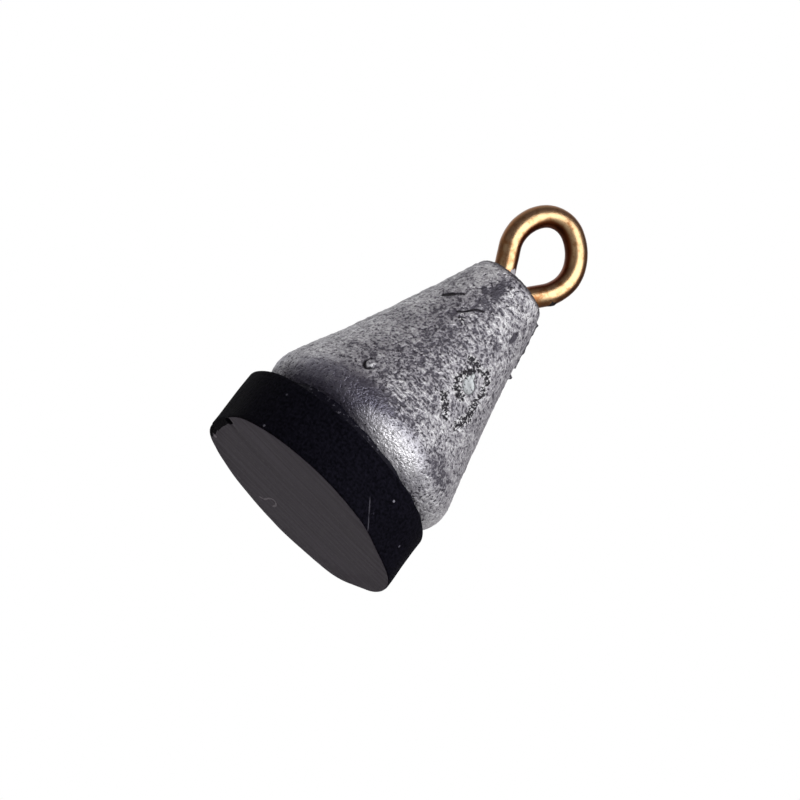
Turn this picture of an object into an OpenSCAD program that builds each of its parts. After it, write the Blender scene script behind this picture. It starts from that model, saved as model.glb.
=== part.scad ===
// Sounding lead of the kind that finds the depth under a float: a small cast cone of lead, a bent
// wire eye set in its top and a foam disc glued under its base, where the hook's point is stuck in.
// Millimetres. +Z runs up the cone towards the eye. The origin is the middle of the underside.

/* [Lead body] */
// Height of the casting from its base to its flat top
lead_h = 21.5; // [15:0.1:30]
// Largest radius, at the rounded shoulder
lead_r = 9.6; // [6:0.1:14]
// Height of the largest radius over the base
shoulder_z = 2.4; // [1.6:0.1:4]
// Radius of the rounded shoulder
shoulder_r = 2.7; // [2.5:0.1:5]
// Lean of the flank where it leaves the shoulder, in degrees
flank_lean = 21.2; // [12:0.1:28]
// Radius of the flank's hollow curve
flank_r = 205; // [120:5:600]
// Radius of the rounded rim at the top
rim_r = 0.6; // [0.3:0.1:1.2]
// How far the flash of the mould's joint stands out
flash_h = 0.07; // [0.03:0.01:0.2]
// Width of the flash
flash_w = 0.2; // [0.1:0.05:0.5]
// Distance of the lead's axis from the middle of the disc
lead_offset = 0.1; // [0:0.05:0.5]

/* [Eye wire] */
// Wire diameter
wire_d = 1.95; // [1:0.05:2.5]
// Distance from the lead's axis to the middle of the right leg where it leaves the lead
leg_x = 1.35; // [1.3:0.05:2]
// Lean of the right leg from the vertical, in degrees
leg_lean = 33.6; // [20:0.1:45]
// Length of the straight part of each leg inside the lead
shank_l = 4.2; // [2:0.1:8]
// Length of the bent foot at the end of each leg
foot_l = 1.3; // [0.5:0.1:2.5]

/* [Base pad] */
// Diameter of the foam disc
pad_d = 20; // [14:0.1:30]
// Thickness of the foam disc
pad_t = 5; // [3:0.1:8]
// Lean of the disc's cut edge, in degrees
pad_lean = 6; // [0:0.5:10]
// Thickness of the adhesive film
film_t = 0.18; // [0.1:0.01:0.4]
// Distance of the film's edge from the edge of the lead's base
film_inset = 0.1; // [0:0.05:0.5]

/* [Hidden] */
$fn = 96;
flank_fn = 256;
lead_z = pad_t + film_t;

// The shoulder's middle, and the point where the flank leaves the shoulder
shoulder_x = lead_r - shoulder_r;
lean_dir = [cos(flank_lean), sin(flank_lean)];
shoulder_mid = [shoulder_x, shoulder_z];
flank_foot = shoulder_mid + shoulder_r * lean_dir;
flank_mid = flank_foot + flank_r * lean_dir;
base_r = shoulder_x + sqrt(shoulder_r * shoulder_r - shoulder_z * shoulder_z);

// The top rim's middle: it touches the flank's curve and the flat top
rim_z = lead_h - rim_r;
rim_reach = flank_r + rim_r;
rim_drop = flank_mid[1] - rim_z;
rim_mid = [flank_mid[0] - sqrt(rim_reach * rim_reach - rim_drop * rim_drop), rim_z];
flank_head = flank_mid + (rim_mid - flank_mid) * flank_r / rim_reach;

// The eye's bends, from the right leg round to the left one: each is [radius, turn, straight run after it].
// A turn is in degrees, positive to the left. The first and the last two bends are inside the lead.
foot_turn = 50;
foot_bend_r = 1.6;
neck_bend_r = 1.4;
left_lean = 31.1;
wire_bends = [
    [foot_bend_r, -foot_turn, shank_l],
    [neck_bend_r, -leg_lean, 1.78],
    [3.57, 63.8, 0],
    [4.56, 34.5, 0.06],
    [2.32, 83.5, 0],
    [3.73, 62.9, 2.73],
    [neck_bend_r, -left_lean, shank_l],
    [foot_bend_r, -foot_turn, foot_l]
];

// Where each bend starts and which way the wire then runs
function left_of(h) = [-sin(h), cos(h)];
function along(h) = [cos(h), sin(h)];
function bend_mid(p, h, b) = p + sign(b[1]) * b[0] * left_of(h);
function on_bend(p, h, b, t) = bend_mid(p, h, b) - sign(b[1]) * b[0] * left_of(h + t);
function run_end(p, h, b) = on_bend(p, h, b, b[1]) + b[2] * along(h + b[1]);
function place(i, p, h) = i == 0 ? [p, h] : place_next(i, place(i - 1, p, h));
function place_next(i, q) = [run_end(q[0], q[1], wire_bends[i - 1]), q[1] + wire_bends[i - 1][1]];

// The sections of the wire along one bend, each [point, heading]; the next bend gives the last one
// unless a straight run lies between
wire_sides = 20;
section_turn = 8;
function sections_in(b) = ceil(abs(b[1]) / section_turn);
function bend_sections(at, b, n) =
    [for (k = [0 : b[2] > 0 ? n : n - 1])
        [on_bend(at[0], at[1], b, b[1] * k / n), at[1] + b[1] * k / n]];

// The right foot's tip, found by walking back from where the right leg leaves the lead
leg_heading = 90 - leg_lean;
neck_end = [leg_x, 0];
neck_start = neck_end - neck_bend_r * (left_of(leg_heading) - left_of(90));
shank_start = neck_start - [0, shank_l];
foot_heading = 90 + foot_turn;
foot_end = shank_start - foot_bend_r * (left_of(90) - left_of(foot_heading));
foot_tip = foot_end - foot_l * along(foot_heading);

last_bend = len(wire_bends) - 1;
last_place = place(last_bend + 1, foot_end, foot_heading);
right_foot = [[foot_tip, foot_heading]];
left_foot = [last_place];
function all_sections() =
    [for (i = [0 : last_bend]) each
        bend_sections(place(i, foot_end, foot_heading), wire_bends[i], sections_in(wire_bends[i]))];
wire_path = concat(right_foot, all_sections(), left_foot);

// The sections of each leg that the lead holds, carried on a little way over the lead's top
clear_of_top = 2.5;
buried_right = [for (q = wire_path) if (q[0][0] > 0 && q[0][1] < clear_of_top) q];
buried_left = [for (q = wire_path) if (q[0][0] < 0 && q[0][1] < clear_of_top) q];

module lead_outline() {
    intersection() {
        union() {
            difference() {
                polygon([
                    [0, 0],
                    [base_r, 0],
                    shoulder_mid,
                    flank_foot,
                    flank_head,
                    rim_mid,
                    [rim_mid[0], lead_h],
                    [0, lead_h]
                ]);
                translate(flank_mid)
                    circle(r = flank_r, $fn = flank_fn);
            }
            translate(shoulder_mid)
                circle(r = shoulder_r);
            translate(rim_mid)
                circle(r = rim_r);
        }
        square([lead_r, lead_h]);
    }
}

// The cone of lead, poured base up in a mould of two halves round the wire
module lead_body() {
    color("#8e8d92")
        translate([lead_offset, 0, lead_z])
            difference() {
                union() {
                    rotate_extrude()
                        lead_outline();
                    mould_flash();
                }
                stood_up()
                    bar_through(buried_right);
                stood_up()
                    bar_through(buried_left);
            }
}

// The thin flash where the mould's halves meet, in the plane of the eye
module mould_flash() {
    translate([0, flash_w / 2, 0])
        rotate([90, 0, 0])
            linear_extrude(height = flash_w)
                for (side = [0, 1])
                    mirror([side, 0])
                        flash_strip();
}

module flash_strip() {
    difference() {
        polygon([
            [0, flank_foot[1]],
            [flank_foot[0] + flash_h, flank_foot[1]],
            [flank_head[0] + flash_h, flank_head[1]],
            [0, flank_head[1]]
        ]);
        translate(flank_mid + [flash_h, 0])
            circle(r = flank_r, $fn = flank_fn);
    }
}

// A round bar through the given sections, drawn in the XY plane
module bar_through(path) {
    last = len(path) - 1;
    points = [
        for (q = path)
            for (j = [0 : wire_sides - 1])
                let (
                    a = 360 * j / wire_sides,
                    c = q[0] + wire_d / 2 * cos(a) * left_of(q[1])
                )
                [c[0], c[1], wire_d / 2 * sin(a)]
    ];
    walls = [
        for (i = [0 : last - 1])
            for (j = [0 : wire_sides - 1])
                let (
                    k = (j + 1) % wire_sides,
                    low = i * wire_sides,
                    high = low + wire_sides
                )
                [low + j, high + j, high + k, low + k]
    ];
    first_end = [for (j = [0 : wire_sides - 1]) j];
    last_end = [for (j = [0 : wire_sides - 1]) (last + 1) * wire_sides - 1 - j];
    polyhedron(points, concat([first_end], walls, [last_end]));
}

// Stands a wire drawn in the XY plane up in the plane of the mould's joint, its zero at the lead's top
module stood_up() {
    translate([0, 0, lead_h])
        rotate([90, 0, 0])
            children();
}

// The eye: hard brass wire bent to a loop, with splayed feet cast into the lead
module eye_wire() {
    color("#c08a45")
        translate([lead_offset, 0, lead_z])
            stood_up()
                bar_through(wire_path);
}

// The foam disc, punched from sheet a little out of square
module base_pad() {
    color("#2b2b2f")
        intersection() {
            translate([0, 0, pad_t / 2])
                rotate([0, -pad_lean, 0])
                    cylinder(h = pad_t * 2, d = pad_d, center = true);
            translate([-pad_d, -pad_d, 0])
                cube([pad_d * 2, pad_d * 2, pad_t]);
        }
}

// The film of adhesive between the disc and the lead
module adhesive_film() {
    color("#5a5148")
        translate([lead_offset, 0, pad_t])
            cylinder(h = film_t, r = base_r - film_inset);
}

lead_body();
eye_wire();
base_pad();
adhesive_film();
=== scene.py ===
import math

import bmesh
import bpy
import numpy as np
from mathutils import Matrix, Vector


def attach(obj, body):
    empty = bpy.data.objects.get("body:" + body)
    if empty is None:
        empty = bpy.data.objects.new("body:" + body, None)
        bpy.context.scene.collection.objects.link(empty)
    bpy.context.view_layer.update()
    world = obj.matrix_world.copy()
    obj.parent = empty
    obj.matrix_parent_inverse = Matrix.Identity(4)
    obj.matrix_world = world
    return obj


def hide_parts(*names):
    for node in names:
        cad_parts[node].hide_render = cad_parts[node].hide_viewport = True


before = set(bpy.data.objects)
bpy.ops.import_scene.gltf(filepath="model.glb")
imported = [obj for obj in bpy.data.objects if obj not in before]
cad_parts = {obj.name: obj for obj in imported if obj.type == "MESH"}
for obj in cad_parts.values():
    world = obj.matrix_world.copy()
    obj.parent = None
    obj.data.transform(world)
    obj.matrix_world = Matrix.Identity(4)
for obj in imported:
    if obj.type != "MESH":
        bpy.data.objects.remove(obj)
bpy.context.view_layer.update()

# The eye
# One length of hard brass wire, 2 mm thick, bent round formers of several sizes to a lopsided loop.
# Its two legs run down into the lead, where splayed feet hold it: the casting was poured round them.
mm = 0.001
axis_x = 0.1 * mm
lead_top = 26.68 * mm
wire_r = 0.975 * mm
wire_sides = 48
foot_tip = (2.684, -7.036)
foot_heading = 140
foot_length = 1.3
# How far the two legs lean out from the upright, in degrees
right_lean = 33.6
left_lean = 31.1
# Each bend is its radius, its turn in degrees, positive to the left, and the straight run after it
wire_bends = [
    (1.6, -50, 4.2),
    (1.4, -right_lean, 1.78),
    (3.57, 63.8, 0),
    (4.56, 34.5, 0.06),
    (2.32, 83.5, 0),
    (3.73, 62.9, 2.73),
    (1.4, -left_lean, 4.2),
    (1.6, -50, foot_length),
]
# The longest straight step of the wire's mesh, and the widest turn of one, in degrees
longest_step = 0.35
widest_turn = 4


def along(heading):
    return Vector((math.cos(math.radians(heading)), 0, math.sin(math.radians(heading))))


def run_straight(start, heading, length):
    """Extrudes the wire's open end by a straight run in short lengths and returns its new middle."""
    parts = math.ceil(length / longest_step)
    for _ in range(parts):
        step = along(heading) * length * mm / parts
        bpy.ops.mesh.extrude_region_move(TRANSFORM_OT_translate={"value": step})
        wire_steps.append(length / parts)
    return start + along(heading) * length * mm


def finish_piece(piece, name, sharp_over):
    bpy.ops.object.mode_set(mode="OBJECT")
    piece.name = piece.data.name = name
    bpy.ops.object.shade_smooth_by_angle(angle=math.radians(sharp_over))


def push(piece, name, weights, depth, texture=None):
    """Moves a piece's surface in or out by a depth in millimetres where the weights are over nought."""
    group = piece.vertex_groups.new(name=name)
    for i in np.flatnonzero(weights > 0.001):
        group.add([int(i)], float(weights[i]), "REPLACE")
    moved = piece.modifiers.new(name, "DISPLACE")
    moved.vertex_group = name
    moved.strength = depth * mm
    moved.mid_level = 0.5 if texture else 0
    if texture:
        moved.texture = texture
        moved.texture_coords = "LOCAL"


def new_clouds(name, size, contrast):
    made = bpy.data.textures.new(name, "CLOUDS")
    made.noise_scale = size * mm
    made.contrast = contrast
    return made


def corners_of(piece):
    """A piece's corners as rows of three, in millimetres."""
    places = np.empty(len(piece.data.vertices) * 3)
    piece.data.vertices.foreach_get("co", places)
    return places.reshape(-1, 3) / mm


def apply_modifiers(piece):
    for modifier in list(piece.modifiers):
        bpy.ops.object.modifier_apply(modifier=modifier.name)
    piece.vertex_groups.clear()


bpy.ops.object.select_all(action="DESELECT")
heading = foot_heading
middle = Vector((axis_x + foot_tip[0] * mm, 0, lead_top + foot_tip[1] * mm))
bpy.ops.mesh.primitive_circle_add(
    vertices=wire_sides, radius=wire_r, location=middle, rotation=(0, math.radians(90 - heading), 0)
)
eye = bpy.context.object
bpy.ops.object.transform_apply(location=True, rotation=True, scale=True)
bpy.ops.object.mode_set(mode="EDIT")
bpy.ops.mesh.select_all(action="SELECT")
wire_steps = []
middle = run_straight(middle, heading, foot_length)
for radius, turn, straight in wire_bends:
    side = math.copysign(90, turn)
    centre = middle + along(heading + side) * radius * mm
    parts = math.ceil(abs(turn) / widest_turn)
    bpy.ops.mesh.spin(steps=parts, angle=math.radians(turn), center=centre, axis=(0, 1, 0))
    wire_steps += [radius * math.radians(abs(turn)) / parts] * parts
    heading += turn
    middle = centre - along(heading + side) * radius * mm
    if straight:
        middle = run_straight(middle, heading, straight)
bpy.ops.mesh.select_all(action="SELECT")
bpy.ops.mesh.fill_holes(sides=0)
bpy.ops.mesh.select_all(action="SELECT")
bpy.ops.mesh.normals_make_consistent(inside=False)
finish_piece(eye, "wire_eye", 50)

# The marks of the formers, for the wire is nowhere quite round or straight, and a crumb on its right leg
crumb_at = (3.48, -0.25, 28.06)
crumb_r = 0.28
push(eye, "uneven", np.ones(len(eye.data.vertices)), 0.05, new_clouds("former_marks", 1.6, 1))
from_crumb = np.linalg.norm(corners_of(eye) - crumb_at, axis=1)
push(eye, "crumb", np.clip(1.4 - from_crumb / crumb_r, 0, 1), 0.15)
apply_modifiers(eye)


def keep_attribute(piece, name, field):
    """Keeps a number for every corner of a piece, for its material to read."""
    kept = piece.data.attributes.new(name, "FLOAT", "POINT")
    kept.data.foreach_set("value", field)


# How far the wire's surface faces the front or the back, where handling rubs it and a highlight is painted
# lighter
facing = np.empty(len(eye.data.vertices) * 3)
eye.data.vertices.foreach_get("normal", facing)
facing = facing.reshape(-1, 3)
keep_attribute(eye, "rubbed_and_painted_light", np.abs(facing[:, 1]))
# And how far it faces the middle of the loop, where the colour is painted darker as shade,
# but for the legs' last millimetre
loop_middle = (0, 0, 30.6)
tarnished_over = 27.5
to_middle = loop_middle - corners_of(eye)
to_middle /= np.linalg.norm(to_middle, axis=1)[:, None]
inward_share = (facing * to_middle).sum(axis=1)
keep_attribute(eye, "inside", inward_share * (corners_of(eye)[:, 2] > tarnished_over))

# Distance along the wire and round it, in millimetres, for the lines that the drawing die left
wire_map = eye.data.uv_layers.new(name="along_and_round")
ring_at = np.concatenate(([0], np.cumsum(wire_steps)))
side_width = math.tau * wire_r / mm / wire_sides
for face in eye.data.polygons:
    corners = [eye.data.loops[i].vertex_index for i in face.loop_indices]
    crosses = max(c % wire_sides for c in corners) - min(c % wire_sides for c in corners) > 1
    for i, corner in zip(face.loop_indices, corners):
        place_round = corner % wire_sides
        if crosses and place_round == 0:
            place_round = wire_sides
        wire_map.data[i].uv = (ring_at[corner // wire_sides], place_round * side_width)


def linear(hex_colour):
    """An sRGB colour written as six hex digits, turned linear for a shader."""
    parts = [int(hex_colour[i : i + 2], 16) / 255 for i in (1, 3, 5)]
    return [p / 12.92 if p <= 0.04045 else ((p + 0.055) / 1.055) ** 2.4 for p in parts] + [1]


def feed(tree, node, inputs):
    """Sets each named or numbered input of a node to a value, or links another node's output to it."""
    for name, value in inputs.items():
        if isinstance(value, bpy.types.NodeSocket):
            tree.links.new(value, node.inputs[name])
        else:
            node.inputs[name].default_value = value


def add(tree, kind, inputs, give=0, **settings):
    """Adds a shader node with its settings, values and links, and gives back one of its outputs."""
    node = tree.nodes.new("ShaderNode" + kind)
    for name, value in settings.items():
        setattr(node, name, value)
    feed(tree, node, inputs)
    return node.outputs[give]


def new_material(name):
    made = bpy.data.materials.new(name)
    made.use_nodes = True
    return made, made.node_tree, made.node_tree.nodes["Principled BSDF"]


# Brass, drawn through a die and handled for years: a painted highlight of warm yellow on its front and
# back, where handling also rubs it, painted red brown shade on its sides and inside the loop, tarnish in
# blotches near the lead, and faint lines along its length
brass, tree, surface = new_material("brass_drawn_wire_lightly_tarnished")
place = add(tree, "Mapping", {0: add(tree, "TexCoord", {}, give="Object"), "Scale": (1 / mm,) * 3})
on_wire = add(tree, "UVMap", {}, uv_map="along_and_round")
# Blotches of tarnish are about 0.8 mm across
blotches = add(tree, "TexNoise", {"Vector": place, "Scale": 1.2, "Detail": 5, "Roughness": 0.6})
# Die lines are some 0.02 mm wide; they are drawn at 0.15 mm so that the render can show them
stretched = add(tree, "Mapping", {0: on_wire, "Scale": (0.35, 6, 1)})
die_lines = add(tree, "TexNoise", {"Vector": stretched, "Scale": 1, "Detail": 3})
height = add(tree, "SeparateXYZ", {0: place}, give=2)
near_lead = add(tree, "MapRange", {0: height, 1: 29.6, 2: 26.6, 3: 0, 4: 0.1})
tarnish = add(tree, "Math", {0: blotches, 1: near_lead}, operation="ADD")
tarnish = add(tree, "MapRange", {0: tarnish, 1: 0.46, 2: 0.72}, interpolation_type="SMOOTHSTEP")
rubbed_and_painted_light = add(tree, "Attribute", {}, give="Fac", attribute_name="rubbed_and_painted_light")
rubbed_and_painted_light = add(tree, "MapRange", {0: rubbed_and_painted_light, 1: 0.6, 2: 0.95}, interpolation_type="SMOOTHSTEP")
# Painted light: the ridge's pale yellow stands for the highlight and the sides' darker brown for shade
colour = add(tree, "Mix", {0: rubbed_and_painted_light, 6: linear("#865d3c"), 7: linear("#d2b186")}, give=2, data_type="RGBA")
colour = add(tree, "Mix", {0: tarnish, 6: colour, 7: linear("#9a6a42")}, give=2, data_type="RGBA")
# Painted shade: the inside of the loop is darker red brown
inside = add(tree, "Attribute", {}, give="Fac", attribute_name="inside")
inside = add(tree, "MapRange", {0: inside, 1: 0.05, 2: 0.5}, interpolation_type="SMOOTHSTEP")
colour = add(tree, "Mix", {0: inside, 6: colour, 7: linear("#6c381c")}, give=2, data_type="RGBA")
metal = 1
# A crumb of old adhesive sticks to the right leg, and a fleck of lead to the left one
ragged_edge = add(tree, "TexNoise", {"Vector": place, "Scale": 3, "Detail": 2})
ragged_edge = add(tree, "Math", {0: ragged_edge, 1: 0.5}, operation="SUBTRACT")
for spot, lean, half_width, half_length, speck_colour in (
    (crumb_at, right_lean, 0.34, 0.42, "#0a0605"),
    ((-0.75, -0.7, 27.4), -left_lean, 0.26, 0.42, "#a5a3a8"),
):
    speck = add(
        tree, "Mapping",
        {
            0: place,
            "Location": spot,
            "Rotation": (0, math.radians(lean), 0),
            "Scale": (half_width, 0.5, half_length),
        },
        vector_type="TEXTURE",
    )
    speck = add(tree, "VectorMath", {0: speck}, give="Value", operation="LENGTH")
    speck = add(tree, "Math", {0: ragged_edge, 1: 2.4, 2: speck}, operation="MULTIPLY_ADD")
    speck = add(tree, "MapRange", {0: speck, 1: 1.1, 2: 0.8}, interpolation_type="SMOOTHSTEP")
    colour = add(tree, "Mix", {0: speck, 6: colour, 7: linear(speck_colour)}, give=2, data_type="RGBA")
    metal = add(tree, "Math", {0: metal, 1: speck}, operation="SUBTRACT")
gloss = add(tree, "MapRange", {0: blotches, 1: 0.3, 2: 0.7, 3: 0.26, 4: 0.38})
relief = add(tree, "Math", {0: die_lines, 1: blotches}, operation="ADD")
bump = add(tree, "Bump", {"Height": relief, "Distance": 0.004 * mm})
feed(tree, surface, {"Base Color": colour, "Roughness": gloss, "Normal": bump, "Metallic": metal})
eye.data.materials.append(brass)

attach(eye, "root")
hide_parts("eye_wire")

# The casting
# A cone of soft lead, poured base up into a mould of two halves round the feet of the eye. Its skin is
# pitted, cracked and oxidised grey, and its widest part is rubbed smooth by years in a tackle box, and
# painted bright there as a highlight.
lead_base = 5.18 * mm
lead_h = 21.5
shoulder_mid = (6.9, 2.4)
shoulder_r = 2.7
base_angle = -62.73
flank_lean = 21.2
flank_r = 205
flank_turn = 5.217
rim_r = 0.6
rim_mid = (2.891, lead_h - rim_r)
base_r = 8.137
turned_steps = 104
flank_mid = (
    shoulder_mid[0] + (shoulder_r + flank_r) * math.cos(math.radians(flank_lean)),
    shoulder_mid[1] + (shoulder_r + flank_r) * math.sin(math.radians(flank_lean)),
)


def on_axis(radius, height):
    return Vector((axis_x + radius * mm, 0, lead_base + height * mm))


def draw_out(length, height=0):
    bpy.ops.mesh.extrude_region_move(TRANSFORM_OT_translate={"value": (length * mm, 0, height * mm)})


def draw_arc(centre, turn, steps):
    bpy.ops.mesh.spin(steps=steps, angle=math.radians(turn), center=on_axis(*centre), axis=(0, 1, 0))


# The outline from the middle of the base to the middle of the top, then a full turn of it
bpy.ops.object.select_all(action="DESELECT")
bpy.ops.mesh.primitive_plane_add(size=1 * mm, location=on_axis(0, 0))
casting = bpy.context.object
bpy.ops.object.transform_apply(location=True, rotation=True, scale=True)
bpy.ops.object.mode_set(mode="EDIT")
bpy.ops.mesh.select_all(action="SELECT")
bpy.ops.mesh.merge(type="CENTER")
draw_out(4)
draw_out(base_r - 4.2)
draw_out(0.2)
draw_arc(shoulder_mid, flank_lean - base_angle, 9)
draw_arc(flank_mid, -flank_turn, 36)
draw_arc(rim_mid, 90 - flank_lean + flank_turn, 3)
for inward in (0.9, 1, rim_mid[0] - 1.9):
    draw_out(-inward)
# The last point goes right on the axis, so that the turned top closes
bpy.ops.transform.resize(value=(0, 1, 1), center_override=on_axis(0, 0))
bpy.ops.mesh.select_all(action="SELECT")
bpy.ops.mesh.spin(steps=turned_steps, angle=math.tau, center=on_axis(0, 0), axis=(0, 0, 1))
bpy.ops.mesh.select_all(action="SELECT")
bpy.ops.mesh.remove_doubles(threshold=0.001 * mm)
bpy.ops.mesh.normals_make_consistent(inside=False)
finish_piece(casting, "lead_casting", 60)
rounded = casting.modifiers.new("rounded", "SUBSURF")
rounded.levels = rounded.render_levels = 2
apply_modifiers(casting)

# Every vertex's place on the casting, in millimetres and degrees round from the front
points = corners_of(casting) - (axis_x / mm, 0, lead_base / mm)
height_of = points[:, 2]
from_axis = np.hypot(points[:, 0], points[:, 1])
turned = np.degrees(np.arctan2(points[:, 0], -points[:, 1]))
# How far a millimetre along the flank goes up
flank_slope = 0.95


def from_place(angle, height):
    """How far round and up the skin every vertex lies from a place on it."""
    turn = (turned - angle + 180) % 360 - 180
    return np.stack((np.radians(turn) * from_axis, (height_of - height) / flank_slope), 1)


def mark_field(marks):
    """For every vertex, 1 inside a mark, 0.5 on its edge and 0 half its own size outside it.

    A mark is its angle and height, half its width and height, its tilt and its strength.
    """
    field = np.zeros(len(points))
    for angle, height, half_width, half_height, tilt, strength in marks:
        t = math.radians(tilt)
        off = from_place(angle, height) @ ((math.cos(t), -math.sin(t)), (math.sin(t), math.cos(t)))
        reach = np.hypot(off[:, 0] / half_width, off[:, 1] / half_height)
        field = np.maximum(field, np.clip(1.5 - reach, 0, 1) * strength)
    return field


def crack_field(cracks):
    """The same for cracks, each a half width and the angles and heights that it runs through."""
    field = np.zeros(len(points))
    for half_width, *stops in cracks:
        for (angle, height), (next_angle, next_height) in zip(stops, stops[1:]):
            off = from_place(angle, height)
            radius = flank_mid[0] - math.sqrt(flank_r**2 - (flank_mid[1] - height) ** 2)
            run = np.array(
                (math.radians(next_angle - angle) * radius, (next_height - height) / flank_slope)
            )
            share = np.clip(off @ run / (run @ run), 0, 1)
            reach = np.linalg.norm(off - share[:, None] * run, axis=1) / half_width
            field = np.maximum(field, np.clip(1.5 - reach, 0, 1))
    return field


# A cold patch, where the lead set before it filled the mould: a smooth floor a little under the skin
smooth_floor = np.maximum(
    mark_field([(29.6, 10.8, 0.72, 0.78, -20, 1)]), mark_field([(26.2, 11.6, 0.42, 0.5, -35, 1)])
)
# The broken skin round it, and other pits
broken = crack_field([
    (0.4, (24.5, 12.1), (20.3, 11.2), (18.8, 10.5), (21.1, 9.8), (25.9, 9.5), (29.7, 9.5)),
    (0.42, (38.4, 13.0), (43.6, 12.5), (44.8, 11.5), (43.9, 10.1), (43.6, 9.0), (41.5, 8.1), (37.6, 7.4)),
    (0.42, (17.5, 8.3), (21.2, 8.0), (24.1, 7.5), (26.9, 7.1)),
    (0.32, (17.0, 12.6), (25.6, 12.8), (31.8, 12.6), (38.4, 13.0)),
    (0.18, (-16.0, 14.6), (-12.5, 14.75), (-8.9, 14.5)),
])
dark_patches = mark_field([
    (-9.7, 19.1, 0.5, 1.0, 4, 1),
    (-21.0, 18.3, 0.7, 0.3, -40, 0.75),
    (42.0, 17.35, 0.34, 0.9, -12, 0.95),
])
cracks = crack_field([
    (0.24, (-40.5, 16.2), (-47.5, 15.7)),
    (0.13, (-32.2, 16.8), (-36.0, 16.6), (-41.0, 16.15)),
    (0.12, (-4.0, 16.7), (-9.5, 16.45), (-12.1, 16.2), (-14.7, 15.7), (-18.3, 15.25), (-21.0, 15.0)),
])
# A blister of metal with a sunken edge
blister = mark_field([(-27.2, 5.52, 0.33, 0.33, 0, 1)])
moat = crack_field([(0.14, (-29.6, 5.9), (-30.3, 5.4), (-28.9, 5.0), (-26.6, 4.9), (-24.9, 5.2))])
# Where oxide dulls the skin, less where it is frosty, with painted shade in the blister's middle
# and a painted highlight on its right
dulled_and_blister_light = mark_field([
    (-12, 18.2, 0.9, 2.6, 0, 1),
    (-22, 14.0, 1.9, 2.2, 0, 1),
    (-12, 10.6, 1.5, 3.0, 0, 1),
    (-26, 7.0, 3.2, 2.6, 0, 0.5),
    (-36, 10.0, 2.0, 3.2, 0, 0.4),
    (6, 7.0, 1.8, 2.4, 0, 0.7),
    (4, 16.0, 1.0, 3.4, 0, 0.5),
    (26, 15.0, 0.8, 1.6, 0, 0.6),
    (-4, 3.4, 2.6, 1.3, 0, 1.2),
    (46, 3.5, 2.0, 1.1, 0, 0.9),
    (7, 17.4, 0.8, 1.2, 0, 0.8),
    # Painted shade in the middle of the blister
    (-27.3, 5.6, 0.24, 0.24, 0, 1.7),
    (130, 9.0, 3.0, 4.0, 20, 0.8),
    (-135, 13.0, 2.5, 3.5, -10, 0.8),
]) - mark_field([
    (15, 18.0, 0.8, 2.8, 0, 0.4),
    (40, 14.6, 0.9, 1.4, 0, 0.3),
    (60, 8.0, 3.0, 6.0, 0, 0.08),
    (58, 1.4, 1.8, 1.2, 0, 0.55),
    (86, 1.4, 2.8, 2.4, 0, 1.6),
    (24, 5.8, 1.4, 1.6, 0, 0.4),
    (44, 20.2, 1.0, 1.0, 0, 0.7),
    (-40, 19.8, 1.2, 1.4, 0, 0.8),
    (-58, 9.0, 3.0, 8.0, 0, 0.5),
    # Painted highlight on the right of the blister
    (-25.3, 5.42, 0.07, 0.2, -20, 2.4),
    (-100, 9.0, 3.5, 6.0, 0, 0.5),
    (175, 12.0, 2.5, 6.0, 0, 0.5),
])
# The back, out of the light in its box, is dulled more evenly
evenly = np.clip((np.abs(turned) - 60) / 60, 0, 1) * 0.65
# Where the metal crept up the mould in fine steps
crept = mark_field([
    (9, 16.5, 1.0, 4.6, 0, 1),
    (10, 10.5, 1.5, 3.0, 0, 0.8),
    (4, 5.2, 3.4, 2.2, 0, 1),
    (160, 14.0, 2.0, 4.0, 0, 1),
])
# Painted shade in the corner over the disc
shade_over_disc = mark_field([
    (-38, 0.4, 5.2, 1.5, 0, 1),
    (-110, 0.3, 5.0, 1.0, 0, 0.8),
    (165, 0.3, 7.0, 1.2, 0, 0.9),
])
# Where the widest part is rubbed smooth, its colour painted dark grey as the room's dark reflection
rubbed_smooth_painted_dark = mark_field([
    (-25, 2.0, 5.4, 2.1, 0, 1),
    (16, 1.4, 3.9, 2.0, 0, 0.85),
    (128, 2.3, 4.4, 1.7, 0, 1),
    (-150, 2.3, 5.0, 1.5, 0, 1),
    (-88, 2.3, 2.5, 1.0, 0, 0.7),
])
# The brightest of it, painted near white as a highlight
burnished_and_highlight = mark_field([
    (20, 1.0, 3.9, 1.75, 0, 1),
    (110, 2.6, 2.5, 1.2, 0, 0.8),
])
# The flash where the mould's halves met stands proudest on the right, and ends in a small bead
across_joint = np.abs(points[:, 1])
ragged = 0.75 + 0.25 * np.sin(height_of * 5.1) * np.sin(height_of * 2.3 + 1)
proud = np.where((points[:, 0] > 0) & (height_of > 16.5) & (height_of < 20.7), 1, 0.3) * ragged
flash = np.clip(1.4 - across_joint / 0.1, 0, 1) * proud * (height_of > 3.4) * (height_of < 20.7)
bead = np.clip(1.5 - np.linalg.norm(from_place(90, 15.7), axis=1) / 0.15, 0, 1)
# The lead drawn up round the legs of the eye
drawn_up = np.zeros(len(points))
drawn_width = 0.4
for leg_x, lean in ((1.35, right_lean), (-1.18, -left_lean)):
    leg = np.array([math.sin(math.radians(lean)), 0, math.cos(math.radians(lean))])
    off = points - (leg_x, 0, lead_h)
    from_wire = np.linalg.norm(off - np.outer(off @ leg, leg), axis=1) - wire_r / mm
    beside_leg = np.clip(1 - np.abs(from_wire) / drawn_width, 0, 1)
    drawn_up = np.maximum(drawn_up, beside_leg * (np.abs(off[:, 2]) < drawn_width))

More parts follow.
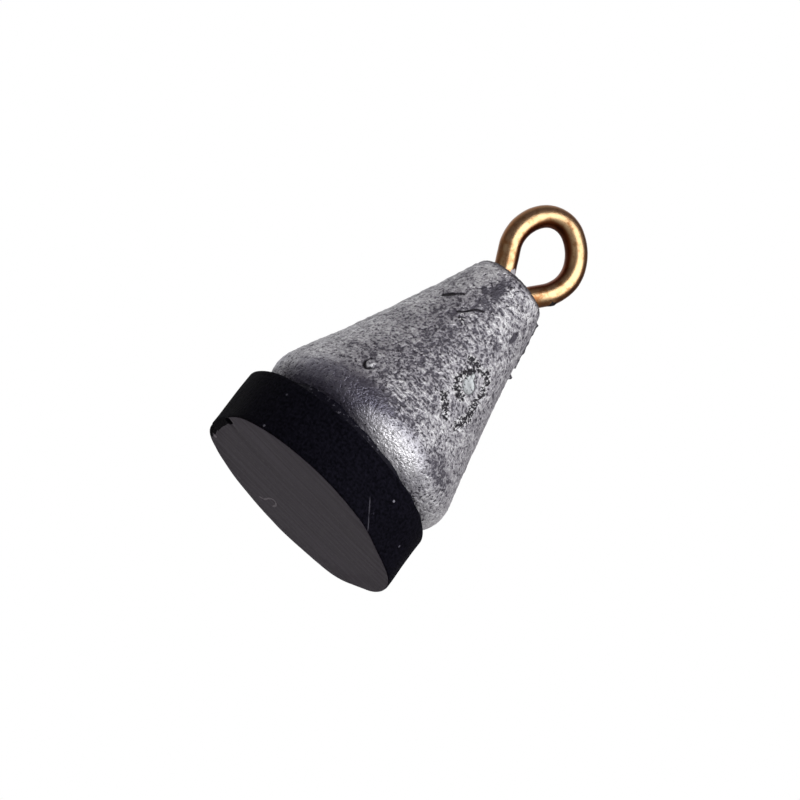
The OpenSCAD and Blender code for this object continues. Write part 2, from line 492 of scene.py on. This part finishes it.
# The broad hollows of a hand-poured casting come first, and then its grain and marks. The glued base
# has neither.
skin = np.clip(height_of / 0.5, 0, 1)
push(casting, "waves", skin, 0.16, new_clouds("waves", 3.2, 1))
apply_modifiers(casting)
before = corners_of(casting)
outward = np.empty(len(points) * 3)
casting.data.vertices.foreach_get("normal", outward)
push(casting, "grit", skin, 0.05, new_clouds("grit", 0.55, 1.5))
push(casting, "grain", skin * (1 - 0.7 * np.clip(rubbed_smooth_painted_dark, 0, 1)), 0.04, new_clouds("grain", 0.28, 2))
push(casting, "floor", np.clip(smooth_floor * 2 - 0.6, 0, 1), -0.12)
push(casting, "broken", broken, 0.3, new_clouds("broken", 0.38, 2.5))
push(casting, "sunken", np.clip(broken * 2 - 0.4, 0, 1), -0.05)
push(casting, "cracks", cracks, -0.1)
push(casting, "moat", moat, -0.14)
push(casting, "blister", np.sqrt(np.clip(blister * 2 - 0.6, 0, 1)), 0.15)
push(casting, "drawn_up", drawn_up, 0.16)
push(casting, "flash", flash, 0.3)
push(casting, "bead", bead, 0.24)
apply_modifiers(casting)
# How far each place lies under the broad form, for oxide stays in the hollows
sunk = ((before - corners_of(casting)) * outward.reshape(-1, 3)).sum(axis=1)
skin_marks = {
    "sunk": np.clip(sunk, -0.04, 0.06),
    "smooth_floor": smooth_floor,
    "broken": broken,
    "cracks": np.maximum(cracks, moat),
    "dark_patches": dark_patches,
    "dulled_and_blister_light": dulled_and_blister_light,
    "evenly": evenly,
    "crept": crept,
    "shade_over_disc": shade_over_disc,
    "rubbed_smooth_painted_dark": rubbed_smooth_painted_dark,
    "burnished_and_highlight": burnished_and_highlight,
    "flash": np.maximum(flash, bead),
}
for name, field in skin_marks.items():
    keep_attribute(casting, name, field)

# Lead, cast in a cold mould and left to weather: a soft grey metal whose frosty crystals show as fine light
# and dark grain, dulled in patches by violet grey oxide, burnished where it is rubbed, with a painted dark
# reflection where it is rubbed, a painted highlight where it is burnished, painted shade in the corner over
# the disc, and painted shade and highlight on a blister
cast_lead, tree, surface = new_material("lead_cast_weathered_and_rubbed")
place = add(
    tree, "Mapping",
    {
        0: add(tree, "TexCoord", {}, give="Object"),
        "Location": (-axis_x / mm, 0, -lead_base / mm),
        "Scale": (1 / mm,) * 3,
    },
)
mark = {name: add(tree, "Attribute", {}, give="Fac", attribute_name=name) for name in skin_marks}
# Oxide lies in patches some 3 mm across that break up into spots under a millimetre
oxide = add(tree, "TexNoise", {"Vector": place, "Scale": 0.4, "Detail": 4, "Roughness": 0.6})
mottle = add(tree, "TexNoise", {"Vector": place, "Scale": 1.7, "Detail": 3, "Roughness": 0.6})
# Frost crystals are 0.05 to 0.2 mm across; they are drawn at 0.25 mm so that the render shows them
frost = add(tree, "TexNoise", {"Vector": place, "Scale": 4.2, "Detail": 2, "Roughness": 0.65})
# Fine ripples across the casting, where the metal crept up the cold mould, in a few places only
across = add(tree, "Mapping", {0: place, "Scale": (1.5, 1.5, 4.6)})
ripples = add(tree, "TexNoise", {"Vector": across, "Scale": 1, "Detail": 2})
rippled = add(tree, "MapRange", {0: oxide, 1: 0.48, 2: 0.62}, interpolation_type="SMOOTHSTEP")
rippled = add(tree, "Math", {0: rippled, 1: mark["crept"]}, operation="MAXIMUM")
ripples = add(tree, "Math", {0: ripples, 1: 0.5}, operation="SUBTRACT")
rippled = add(tree, "Math", {0: rippled, 1: ripples}, operation="MULTIPLY")
# The skin's tone is their sum, darker in hollows and where the oxide is thick
tone = -2.57
for pattern, share in (
    (oxide, 0.8), (mottle, 1.5), (frost, 2.7), (rippled, 2),
    (mark["sunk"], -5), (mark["dulled_and_blister_light"], -0.36), (mark["broken"], 0.5),
):
    tone = add(tree, "Math", {0: pattern, 1: share, 2: tone}, operation="MULTIPLY_ADD")
tone = add(tree, "Mix", {0: mark["evenly"], 2: tone, 3: -0.15}, data_type="FLOAT")
to_grey = add(tree, "MapRange", {0: tone, 1: -0.5, 2: 0.02}, interpolation_type="SMOOTHSTEP")
to_white = add(tree, "MapRange", {0: tone, 1: 0.02, 2: 0.45}, interpolation_type="SMOOTHSTEP")
colour = add(
    tree, "Mix", {0: to_grey, 6: linear("#5f5d66"), 7: linear("#b8b7bd")}, give=2, data_type="RGBA"
)
# Pits are dark, and their edges break up with the frost; the rim round the top is painted darker
pitted = add(tree, "Math", {0: frost, 1: -2.4, 2: 1.2}, operation="MULTIPLY_ADD")
pitted = add(tree, "Math", {0: mark["broken"], 1: 0.5, 2: pitted}, operation="MULTIPLY_ADD")
pitted = add(tree, "Math", {0: mark["evenly"], 1: -0.2, 2: pitted}, operation="MULTIPLY_ADD")
ragged_edge = add(tree, "Math", {0: frost, 1: 1.4, 2: -0.7}, operation="MULTIPLY_ADD")
patched = add(tree, "Math", {0: mark["dark_patches"], 1: ragged_edge}, operation="ADD")
height = add(tree, "SeparateXYZ", {0: place}, give=2)
# Rubbed places are painted dark grey, a painted dark reflection of the room
rubbed_and_painted_light = add(tree, "Math", {0: mark["rubbed_smooth_painted_dark"], 1: ragged_edge}, operation="ADD")
rubbed_and_painted_light = add(tree, "MapRange", {0: rubbed_and_painted_light, 1: 0.1, 2: 0.9}, interpolation_type="SMOOTHSTEP")
# Painted highlight: burnished places are painted near white
burnish_highlight = add(tree, "Math", {0: mark["burnished_and_highlight"], 1: rubbed_and_painted_light}, operation="MULTIPLY")
# Painted shade in the corner over the disc
ragged_shade_over_disc = add(tree, "Math", {0: mark["shade_over_disc"], 1: ragged_edge}, operation="ADD")
on_floor = add(tree, "MapRange", {0: mark["smooth_floor"], 1: 0.4, 2: 0.6}, interpolation_type="SMOOTHSTEP")
for amount, low, high, over in (
    (to_white, 0, 1, "#f2f3f5"),
    (rubbed_and_painted_light, 0, 1.25, "#6c6b7a"),
    (burnish_highlight, 0, 1.15, "#f0f0f3"),
    (ragged_shade_over_disc, 0, 1, "#4b4956"),
    (patched, 0.42, 0.64, "#58565f"),
    (on_floor, 0, 1, "#b9bec0"),
    (pitted, 0.27, 0.43, "#302e34"),
    (mark["cracks"], 0.3, 0.8, "#242227"),
    (mark["flash"], 0.1, 0.5, "#4a484e"),
    (height, 20.95, 21.3, "#4c4a50"),
):
    amount = add(tree, "MapRange", {0: amount, 1: low, 2: high})
    colour = add(tree, "Mix", {0: amount, 6: colour, 7: linear(over)}, give=2, data_type="RGBA")
roughness = add(tree, "MapRange", {0: rubbed_and_painted_light, 3: 0.52, 4: 0.36})
metal = add(tree, "MapRange", {0: rubbed_and_painted_light, 3: 0.6, 4: 0.9})
metal = add(tree, "Math", {0: burnish_highlight, 1: -0.2, 2: metal}, operation="MULTIPLY_ADD")
grain = 0
for pattern, share in ((frost, 0.22), (mottle, 0.14), (rippled, 0.16)):
    grain = add(tree, "Math", {0: pattern, 1: share, 2: grain}, operation="MULTIPLY_ADD")
smooth = add(tree, "Math", {0: rubbed_and_painted_light, 1: 0.25, 2: on_floor}, operation="MULTIPLY_ADD")
rough = add(tree, "MapRange", {0: smooth, 3: 1, 4: 0})
grain = add(tree, "Math", {0: grain, 1: rough}, operation="MULTIPLY")
bump = add(tree, "Bump", {"Height": grain, "Distance": 1 * mm})
feed(tree, surface, {"Base Color": colour, "Roughness": roughness, "Metallic": metal, "Normal": bump})
casting.data.materials.append(cast_lead)

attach(casting, "root")
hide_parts("lead_body")

# The adhesive
# A thin coat of black contact adhesive between the casting and the disc, pressed out to an uneven
# bead that has dried in the corner under the casting's curve.
disc_t = 5 * mm
film_r = base_r - 0.1
bead_sides = 180
centre = (axis_x, 0, disc_t)
bpy.ops.object.select_all(action="DESELECT")
bpy.ops.mesh.primitive_circle_add(
    vertices=bead_sides, radius=film_r * mm, fill_type="NGON", location=centre
)
glue = bpy.context.object
bpy.ops.object.transform_apply(location=True, rotation=True, scale=True)
bpy.ops.object.mode_set(mode="EDIT")
bpy.ops.mesh.select_all(action="SELECT")
# Its section, from the rim of the film's underside out, up and back to the rim of its top
radius, level = film_r, disc_t / mm
for next_radius, next_level in (
    (8.9, 5), (8.98, 5.12), (8.93, 5.3), (8.88, 5.42), (8.78, 5.52), (8.5, 5.5),
    (film_r, lead_base / mm),
):
    rise = (0, 0, (next_level - level) * mm)
    bpy.ops.mesh.extrude_region_move(TRANSFORM_OT_translate={"value": rise})
    grow = next_radius / radius
    bpy.ops.transform.resize(value=(grow, grow, 1), center_override=centre)
    radius, level = next_radius, next_level
# The bead climbs highest on the front's left, where its black also stands for the shade under the
# casting's curve, and is nowhere even
column_turn = 360 / bead_sides
for column in range(bead_sides):
    middle_angle = -180 + column_turn * column
    bpy.ops.mesh.select_all(action="DESELECT")
    built = bmesh.from_edit_mesh(glue.data)
    for corner in built.verts:
        x, y = corner.co.x - axis_x, corner.co.y
        off = math.degrees(math.atan2(x, -y)) - middle_angle
        in_column = -column_turn / 2 <= (off + 180) % 360 - 180 < column_turn / 2
        corner.select = in_column and math.hypot(x, y) > 8.3 * mm
    bmesh.update_edit_mesh(glue.data)
    front_left = 1.1 * math.exp(-(((middle_angle + 25) / 24) ** 2))
    back_right = 0.5 * math.exp(-(((middle_angle - 150) / 40) ** 2))
    uneven = 0.16 * math.sin(middle_angle * 0.11) + 0.1 * math.sin(middle_angle * 0.29 + 1)
    climb = front_left + back_right + uneven
    grow = 1 + 0.026 * climb
    bpy.ops.transform.resize(value=(grow, grow, 1 + 0.9 * climb), center_override=centre)
bpy.ops.mesh.select_all(action="SELECT")
bpy.ops.mesh.normals_make_consistent(inside=False)
finish_piece(glue, "adhesive_bead", 60)

push(glue, "lumps", np.ones(len(glue.data.vertices)), 0.12, new_clouds("bead_lumps", 0.9, 1))
apply_modifiers(glue)

# Contact adhesive, dried: a black rubbery skin, half glossy, with grey dust on it in clumps of 0.4 mm
adhesive, tree, surface = new_material("contact_adhesive_dried")
place = add(tree, "Mapping", {0: add(tree, "TexCoord", {}, give="Object"), "Scale": (1 / mm,) * 3})
dust = add(tree, "TexNoise", {"Vector": place, "Scale": 2.6, "Detail": 4, "Roughness": 0.7})
dusty = add(tree, "MapRange", {0: dust, 1: 0.56, 2: 0.7}, interpolation_type="SMOOTHSTEP")
colour = add(tree, "Mix", {0: dusty, 6: linear("#090815"), 7: linear("#66656f")}, give=2, data_type="RGBA")
bump = add(tree, "Bump", {"Height": dust, "Distance": 0.08 * mm})
feed(tree, surface, {"Base Color": colour, "Normal": bump, "Roughness": 0.6, "Specular IOR Level": 0.12})
glue.data.materials.append(adhesive)

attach(glue, "root")
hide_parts("adhesive_film")

# The foam disc
# Closed-cell foam, punched from 5 mm sheet with a hand punch that leaned a little, so its edge is out of
# square. Its two faces keep the sheet's smooth skin, and its edge shows the cut cells.
disc_r = 10
disc_lean = 6
bpy.ops.object.select_all(action="DESELECT")
bpy.ops.mesh.primitive_cylinder_add(
    vertices=240, radius=disc_r * mm, depth=12 * mm, location=(0, 0, disc_t / 2),
    rotation=(0, math.radians(-disc_lean), 0),
)
disc = bpy.context.object
bpy.ops.object.transform_apply(location=True, rotation=True, scale=True)
bpy.ops.object.mode_set(mode="EDIT")
for level, side in ((0, -1), (disc_t, 1)):
    bpy.ops.mesh.select_all(action="SELECT")
    bpy.ops.mesh.bisect(
        plane_co=(0, 0, level), plane_no=(0, 0, side), use_fill=True, clear_outer=True
    )
bpy.ops.mesh.select_mode(type="EDGE")
bpy.ops.mesh.select_all(action="DESELECT")
built = bmesh.from_edit_mesh(disc.data)
for edge in built.edges:
    heights = [v.co.z for v in edge.verts]
    edge.select = max(heights) - min(heights) < 1e-7
bmesh.update_edit_mesh(disc.data)
bpy.ops.mesh.bevel(offset=0.14 * mm, segments=3, profile=0.5)
# Rings across the faces and rows up the edge, for the foam to be uneven in
bpy.ops.mesh.select_mode(type="FACE")
for side in (-1, 1):
    for inward in (0.06, 0.22, 0.28, 0.12, 1.28, 2.2, 2.2):
        bpy.ops.mesh.select_all(action="DESELECT")
        built = bmesh.from_edit_mesh(disc.data)
        for face in built.faces:
            face.select = len(face.verts) > 100 and face.normal.z * side > 0.9
        bmesh.update_edit_mesh(disc.data)
        bpy.ops.mesh.inset(thickness=inward * mm)
bpy.ops.mesh.select_mode(type="EDGE")
bpy.ops.mesh.select_all(action="DESELECT")
built = bmesh.from_edit_mesh(disc.data)
for edge in built.edges:
    heights = [v.co.z for v in edge.verts]
    edge.select = max(heights) - min(heights) > 3 * mm
bmesh.update_edit_mesh(disc.data)
bpy.ops.mesh.subdivide(number_cuts=9)


def pull_foam(angle, radius, level, move, reach):
    """Pulls the foam at a place, given round from the front, by a move out and up in millimetres."""
    a = math.radians(angle)
    grip = Vector((radius * math.sin(a), -radius * math.cos(a), level)) * mm
    built = bmesh.from_edit_mesh(disc.data)
    nearest = min(built.verts, key=lambda corner: (corner.co - grip).length)
    bpy.ops.mesh.select_all(action="DESELECT")
    nearest.select = True
    bmesh.update_edit_mesh(disc.data)
    out, up = move
    bpy.ops.transform.translate(
        value=(out * mm * math.sin(a), -out * mm * math.cos(a), up * mm),
        use_proportional_edit=True, proportional_edit_falloff="SMOOTH", proportional_size=reach * mm,
    )


# Hand cutting left the underside's outline a little full at the back corners and flat at the front right
bpy.ops.mesh.select_mode(type="VERT")
for angle, out in (
    (-121, 0.62), (-141, 0.2), (139, 0.6), (110, 0.3),
    (88, 0.2), (-78, -0.35), (52, -0.45), (8, 0.12),
):
    pull_foam(angle, disc_r, 0, (out, 0), 4.2)
# A hole torn in the underside and a nick in its edge
pull_foam(-76.5, 9.05, 0, (0.02, 0.5), 0.46)
pull_foam(-106, 9.9, 0, (-0.15, 0.1), 0.4)
bpy.ops.mesh.select_all(action="SELECT")
bpy.ops.mesh.normals_make_consistent(inside=False)
finish_piece(disc, "foam_disc", 40)

push(disc, "uneven", np.ones(len(disc.data.vertices)), 0.12, new_clouds("soft_waves", 5, 1))
apply_modifiers(disc)
# It stands flat on its lower face
places = corners_of(disc)
places[:, 2] = np.maximum(places[:, 2], 0)
disc.data.vertices.foreach_set("co", places.ravel() * mm)

# EVA foam sheet with its skin: dull black to dark grey, with faint draw lines across the sheet
foam_skin, tree, surface = new_material("eva_foam_sheet_skin")
place = add(tree, "Mapping", {0: add(tree, "TexCoord", {}, give="Object"), "Scale": (1 / mm,) * 3})


def scratch(start, end, half_width, outward):
    """A mask along a line between two places on the foam, and the way out of the foam there."""
    start, end, out = Vector(start), Vector(end), Vector(outward).normalized()
    along_it = (end - start).normalized() if end != start else out.orthogonal()
    across_it = out.cross(along_it).normalized()
    turn = Matrix((along_it, across_it, along_it.cross(across_it))).transposed().to_euler()
    size = ((end - start).length / 2 + half_width, half_width, 1)
    inside = add(
        tree, "Mapping",
        {0: place, "Location": (start + end) / 2, "Rotation": turn, "Scale": size},
        vector_type="TEXTURE",
    )
    reach = add(tree, "VectorMath", {0: inside}, give="Value", operation="LENGTH")
    return add(tree, "MapRange", {0: reach, 1: 1.15, 2: 0.7}, interpolation_type="SMOOTHSTEP")


# The draw lines are 0.6 mm apart, and the dust lies in specks of 0.4 mm
lengthwise = add(tree, "Mapping", {0: place, "Scale": (0.07, 1.6, 1)})
lines = add(tree, "TexNoise", {"Vector": lengthwise, "Scale": 1, "Detail": 4})
specks = add(tree, "TexNoise", {"Vector": place, "Scale": 2.6, "Detail": 3, "Roughness": 0.7})
streaked = add(tree, "MapRange", {0: lines, 1: 0.35, 2: 0.65}, interpolation_type="SMOOTHSTEP")
dusty = add(tree, "MapRange", {0: specks, 1: 0.56, 2: 0.8})
colour = add(
    tree, "Mix", {0: streaked, 6: linear("#4a4450"), 7: linear("#595361")}, give=2, data_type="RGBA"
)
colour = add(tree, "Mix", {0: dusty, 6: colour, 7: linear("#6a686c")}, give=2, data_type="RGBA")
# A pale curl of a mark near the back
down = (0, 0, -1)
curl = [
    (-2.5, 7.4, 0), (-2.05, 6.95, 0), (-1.9, 6.1, 0), (-1.72, 5.4, 0),
    (-1.42, 5.05, 0), (-1.12, 5.25, 0), (-0.98, 5.85, 0), (-1.1, 6.6, 0),
]
curled = 0
for start, end in zip(curl, curl[1:]):
    curled = add(tree, "Math", {0: curled, 1: scratch(start, end, 0.11, down)}, operation="MAXIMUM")
# The hole torn at the left is painted black, for its torn cells and the shade in it, and a pale crumb
# sticks near it
hole_cells_and_shade = scratch((-9.02, -2.5, 0.2), (-8.84, -1.7, 0.2), 0.36, down)
crumb = scratch((-8.73, 3.8, 0), (-8.73, 4.1, 0), 0.16, down)
for amount, over in (
    (curled, "#9d9ba2"),
    (hole_cells_and_shade, "#020205"),
    (crumb, "#b0afb5"),
):
    colour = add(tree, "Mix", {0: amount, 6: colour, 7: linear(over)}, give=2, data_type="RGBA")
bump = add(tree, "Bump", {"Height": specks, "Distance": 0.02 * mm})
feed(tree, surface, {"Base Color": colour, "Normal": bump, "Roughness": 0.55, "Specular IOR Level": 0.12})
disc.data.materials.append(foam_skin)

# EVA foam, cut through: an open-celled, very dark and matt surface with a few pale specks of dust
foam_cut, tree, surface = new_material("eva_foam_punched_edge")
place = add(tree, "Mapping", {0: add(tree, "TexCoord", {}, give="Object"), "Scale": (1 / mm,) * 3})
# Cut cells are 0.1 mm across; they are drawn at 0.25 mm so that the render can show them
cells = add(tree, "TexNoise", {"Vector": place, "Scale": 4, "Detail": 2, "Roughness": 0.6})
specks = add(tree, "TexNoise", {"Vector": place, "Scale": 1.9, "Detail": 4, "Roughness": 0.8})
open_cells = add(tree, "MapRange", {0: cells, 1: 0.35, 2: 0.7})
dusty = add(tree, "MapRange", {0: specks, 1: 0.66, 2: 0.76}, interpolation_type="SMOOTHSTEP")
colour = add(
    tree, "Mix", {0: open_cells, 6: linear("#020207"), 7: linear("#13121c")}, give=2, data_type="RGBA"
)
colour = add(tree, "Mix", {0: dusty, 6: colour, 7: linear("#2e2d38")}, give=2, data_type="RGBA")
# A fine pale line runs down the front of the edge in two stretches, and a few crumbs of dust cling to it
bend_at = (5.1, -8.75, 0.9)
outwards = (4.8, -8.8, 0)
upper = scratch((4.07, -9.14, 1.95), bend_at, 0.06, outwards)
lower = scratch(bend_at, (6.0, -8.0, 0), 0.06, outwards)
dust = add(tree, "Math", {0: upper, 1: lower}, operation="MAXIMUM")
colour = add(tree, "Mix", {0: dust, 6: colour, 7: linear("#45444c")}, give=2, data_type="RGBA")
for spot, grey in (
    ((5.75, -8.18, 3.47), "#83828c"),
    ((8.79, -4.76, 2.05), "#55545e"),
    ((-6.82, -7.31, 3.65), "#44434c"),
    ((-6.48, -7.61, 0.3), "#6a6973"),
):
    dust = scratch(spot, spot, 0.12, (spot[0], spot[1], 0))
    colour = add(tree, "Mix", {0: dust, 6: colour, 7: linear(grey)}, give=2, data_type="RGBA")
bump = add(tree, "Bump", {"Height": cells, "Distance": 0.1 * mm})
feed(tree, surface, {"Base Color": colour, "Normal": bump, "Roughness": 0.9, "Specular IOR Level": 0.06})
disc.data.materials.append(foam_cut)
# The skin is torn off the underside's rim at the left, so the cut cells show there too
for face in disc.data.polygons:
    x, y, level = face.center / mm
    angle = math.degrees(math.atan2(x, -y))
    torn_to = np.interp(angle, (-118, -106, -96, -77), (10.1, 9.25, 8.86, 8.7), left=11, right=11)
    torn = level < 1 and math.hypot(x, y) > torn_to
    face.material_index = 0 if abs(face.normal.z) > 0.9 and not torn else 1

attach(disc, "root")
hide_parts("base_pad")

# The studio
# A pale floor, a large soft lamp to the right of the camera, and a white wall behind the object and to
# its left. The camera looks from below, as the photograph does, so the floor is seen only from above.
# The floor is a wide ring, open under the disc
bpy.ops.object.select_all(action="DESELECT")
bpy.ops.mesh.primitive_circle_add(vertices=96, radius=8.8 * mm, location=(0, 0, -0.02 * mm))
floor = bpy.context.object
bpy.ops.object.transform_apply(location=True, rotation=True, scale=True)
bpy.ops.object.mode_set(mode="EDIT")
bpy.ops.mesh.select_all(action="SELECT")
bpy.ops.mesh.extrude_edges_move()
bpy.ops.transform.resize(value=(60, 60, 1), center_override=(0, 0, 0))
bpy.ops.mesh.select_all(action="SELECT")
bpy.ops.mesh.normals_make_consistent(inside=False)
finish_piece(floor, "floor", 30)
if floor.data.polygons[0].normal.z < 0:
    floor.data.flip_normals()
paper, tree, surface = new_material("white_paper_floor")
tree.nodes.remove(surface)
seen_by_camera = add(tree, "LightPath", {}, give="Is Camera Ray")
for_shadow = add(tree, "LightPath", {}, give="Is Shadow Ray")
# The disc's own face lies on the floor, so light that starts right above it passes
how_far = add(tree, "LightPath", {}, give="Ray Length")
from_face = add(tree, "Math", {0: how_far, 1: 0.3 * mm}, operation="LESS_THAN")
from_under = add(tree, "NewGeometry", {}, give="Backfacing")
from_middle = add(
    tree, "VectorMath", {0: add(tree, "TexCoord", {}, give="Object")}, give="Value", operation="LENGTH"
)
far_out = add(tree, "MapRange", {0: from_middle, 1: 0.1, 2: 0.5}, interpolation_type="SMOOTHSTEP")
glow = add(tree, "Math", {0: seen_by_camera, 1: 0.6}, operation="MULTIPLY")
glow = add(tree, "Emission", {"Strength": glow})
white = add(tree, "BsdfDiffuse", {"Color": linear("#b4b4b4")})
lit = add(tree, "AddShader", {0: white, 1: glow})
gone = add(tree, "Math", {0: from_under, 1: for_shadow}, operation="MAXIMUM")
gone = add(tree, "Math", {0: gone, 1: from_face}, operation="MAXIMUM")
gone = add(tree, "Math", {0: gone, 1: far_out}, operation="MAXIMUM")
clear = add(tree, "BsdfTransparent", {})
seen = add(tree, "MixShader", {0: gone, 1: lit, 2: clear})
tree.links.new(seen, tree.nodes["Material Output"].inputs["Surface"])
floor.data.materials.append(paper)

# The room is dim, with a white wall behind the object and to its left that its edges mirror
world = bpy.data.worlds.new("white_room")
bpy.context.scene.world = world
world.use_nodes = True
tree = world.node_tree
towards = add(tree, "TexCoord", {}, give="Generated")
behind = add(
    tree, "VectorMath", {0: towards, 1: (-0.45, 0.85, 0.27)}, give="Value", operation="DOT_PRODUCT"
)
wall = add(tree, "MapRange", {0: behind, 1: 0.35, 2: 0.9}, interpolation_type="SMOOTHSTEP")
colour = add(tree, "Mix", {0: wall, 6: linear("#5c5054"), 7: (1, 1, 1, 1)}, give=2, data_type="RGBA")
room = add(tree, "Background", {"Color": colour})
backdrop = add(tree, "Background", {"Color": (1, 1, 1, 1)})
seen_by_camera = add(tree, "LightPath", {}, give="Is Camera Ray")
seen = add(tree, "MixShader", {0: seen_by_camera, 1: room, 2: backdrop})
tree.links.new(seen, tree.nodes["World Output"].inputs["Surface"])

# The one lamp is round and half a metre across, and faces the object from its front, right and above
lamp_azimuth = math.radians(31)
lamp_elevation = math.radians(20)
lamp_distance = 0.35
away = Vector((
    math.sin(lamp_azimuth) * math.cos(lamp_elevation),
    -math.cos(lamp_azimuth) * math.cos(lamp_elevation),
    math.sin(lamp_elevation),
))
light = bpy.data.lights.new("main_lamp", "AREA")
light.shape = "DISK"
light.size = 0.5
light.energy = 1.75
lamp = bpy.data.objects.new("main_lamp", light)
bpy.context.scene.collection.objects.link(lamp)
lamp.location = Vector((0, 0, 13 * mm)) + away * lamp_distance
lamp.rotation_euler = away.to_track_quat("Z", "Y").to_euler()
lamp.visible_camera = False

# The photograph looks from 17 degrees below the level, and its upright leans 45 degrees to the right
camera_elevation = math.radians(-17)
camera_roll = math.radians(44.9)
view_width = 67.52 * mm
lens = bpy.data.cameras.new("camera")
lens.sensor_width = 36
lens.lens = 600
lens.clip_end = 10
camera = bpy.data.objects.new("camera", lens)
bpy.context.scene.collection.objects.link(camera)
towards_camera = Vector((0, -math.cos(camera_elevation), math.sin(camera_elevation)))
right = Vector((1, 0, 0))
upright = towards_camera.cross(right)
camera_x = math.cos(camera_roll) * upright + math.sin(camera_roll) * right
camera_y = math.sin(camera_roll) * upright - math.cos(camera_roll) * right
camera_turn = Matrix((camera_x, camera_y, towards_camera)).transposed()
aim = Vector((axis_x, 0, 12.594 * mm))
camera_distance = view_width * lens.lens / lens.sensor_width
camera_place = Matrix.Translation(aim + towards_camera * camera_distance)
camera.matrix_world = camera_place @ camera_turn.to_4x4()
bpy.context.scene.camera = camera
bpy.context.scene.view_settings.view_transform = "Standard"
